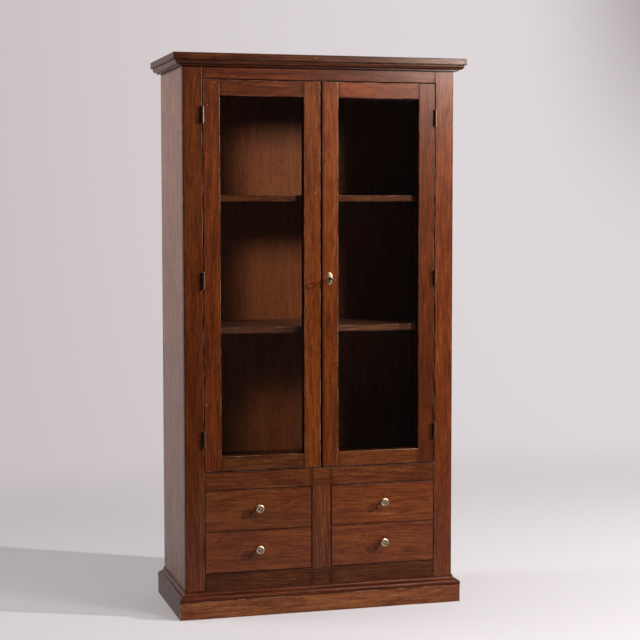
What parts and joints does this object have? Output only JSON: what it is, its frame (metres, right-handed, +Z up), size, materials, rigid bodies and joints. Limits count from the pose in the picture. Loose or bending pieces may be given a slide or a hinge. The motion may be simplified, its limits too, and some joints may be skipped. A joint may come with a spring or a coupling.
{
  "type": "display cabinet",
  "caption": "Tall stained wood display cabinet with a moulded cornice and plinth, glazed doors over shelves, and a bank of knobbed drawers below.",
  "frame": {"origin": "on the floor, at the centre of the overall width and depth", "axes": "+Z up, -Y out of the front with the doors and drawers, +X to the right seen from the front"},
  "size_m": [0.968, 0.423, 1.792],
  "materials": {
    "stained_wood": "satin lacquer over a reddish brown stain",
    "plain_wood": "plain, lightly sealed",
    "back_board": "satin, stained brown",
    "glass": "clear, polished",
    "aged_brass": "aged, with worn bright edges"
  },
  "bodies": {
    "carcass": {"post_left": "stained_wood", "post_right": "stained_wood", "side_panel_left": "stained_wood", "side_panel_right": "stained_wood", "top_rail": "stained_wood", "middle_rail": "stained_wood", "bottom_rail": "stained_wood", "drawer_divider": "stained_wood", "centre_partition": "plain_wood", "back_panel": "back_board", "display_floor": "stained_wood", "shelf_lower": "stained_wood", "shelf_upper": "stained_wood", "shelf_battens": "plain_wood", "door_stop": "stained_wood", "ball_catches": "aged_brass", "drawer_runners": "plain_wood", "cornice_board": "stained_wood", "cornice_moulding_front": "stained_wood", "cornice_moulding_left": "stained_wood", "cornice_moulding_right": "stained_wood", "plinth_board_front": "stained_wood", "plinth_board_left": "stained_wood", "plinth_board_right": "stained_wood", "plinth_moulding_front": "stained_wood", "plinth_moulding_left": "stained_wood", "plinth_moulding_right": "stained_wood", "post_hinge_leaves": "aged_brass", "hinge_pins": "aged_brass"},
    "left_door": {"left_door_hinge_stile": "stained_wood", "left_door_meeting_stile": "stained_wood", "left_door_top_rail": "stained_wood", "left_door_bottom_rail": "stained_wood", "left_door_glass": "glass", "left_door_glazing_beads": "stained_wood", "left_door_hinge_leaves": "aged_brass", "left_door_lock_keeper": "aged_brass"},
    "right_door": {"right_door_hinge_stile": "stained_wood", "right_door_meeting_stile": "stained_wood", "right_door_top_rail": "stained_wood", "right_door_bottom_rail": "stained_wood", "right_door_glass": "glass", "right_door_glazing_beads": "stained_wood", "right_door_hinge_leaves": "aged_brass", "right_door_escutcheon": "aged_brass", "right_door_lock_case": "aged_brass"},
    "key": {"door_key": "aged_brass"},
    "bolt": {"lock_bolt": "aged_brass"},
    "drawer_upper_left": {"drawer_upper_left_front": "stained_wood", "drawer_upper_left_box": "plain_wood", "drawer_upper_left_knob": "aged_brass"},
    "drawer_upper_right": {"drawer_upper_right_front": "stained_wood", "drawer_upper_right_box": "plain_wood", "drawer_upper_right_knob": "aged_brass"},
    "drawer_lower_left": {"drawer_lower_left_front": "stained_wood", "drawer_lower_left_box": "plain_wood", "drawer_lower_left_knob": "aged_brass"},
    "drawer_lower_right": {"drawer_lower_right_front": "stained_wood", "drawer_lower_right_box": "plain_wood", "drawer_lower_right_knob": "aged_brass"}
  },
  "joints": [
    {"name": "left_door_hinge", "type": "hinge", "parent": "carcass", "child": "left_door", "pos_m": [-0.38675, -0.1755, 1.08], "axis": [0, 0, -1], "range_deg": [0, 170]},
    {"name": "right_door_hinge", "type": "hinge", "parent": "carcass", "child": "right_door", "pos_m": [0.38675, -0.1755, 1.08], "axis": [0, 0, 1], "range_deg": [0, 170]},
    {"name": "door_key_turn", "type": "hinge", "parent": "right_door", "child": "key", "pos_m": [0.027, -0.1705, 1.08094], "axis": [0, -1, 0], "range_deg": [0, 120]},
    {"name": "lock_bolt_throw", "type": "slide", "parent": "right_door", "child": "bolt", "axis": [-1, 0, 0], "range_m": [0, 0.008]},
    {"name": "drawer_upper_left_slide", "type": "slide", "parent": "carcass", "child": "drawer_upper_left", "axis": [0, -1, 0], "range_m": [0, 0.24]},
    {"name": "drawer_upper_right_slide", "type": "slide", "parent": "carcass", "child": "drawer_upper_right", "axis": [0, -1, 0], "range_m": [0, 0.24]},
    {"name": "drawer_lower_left_slide", "type": "slide", "parent": "carcass", "child": "drawer_lower_left", "axis": [0, -1, 0], "range_m": [0, 0.24]},
    {"name": "drawer_lower_right_slide", "type": "slide", "parent": "carcass", "child": "drawer_lower_right", "axis": [0, -1, 0], "range_m": [0, 0.24]}
  ],
  "couplings": [
    {"joint": "door_key_turn", "follows": "lock_bolt_throw", "rad_per_m": 261.8}
  ]
}
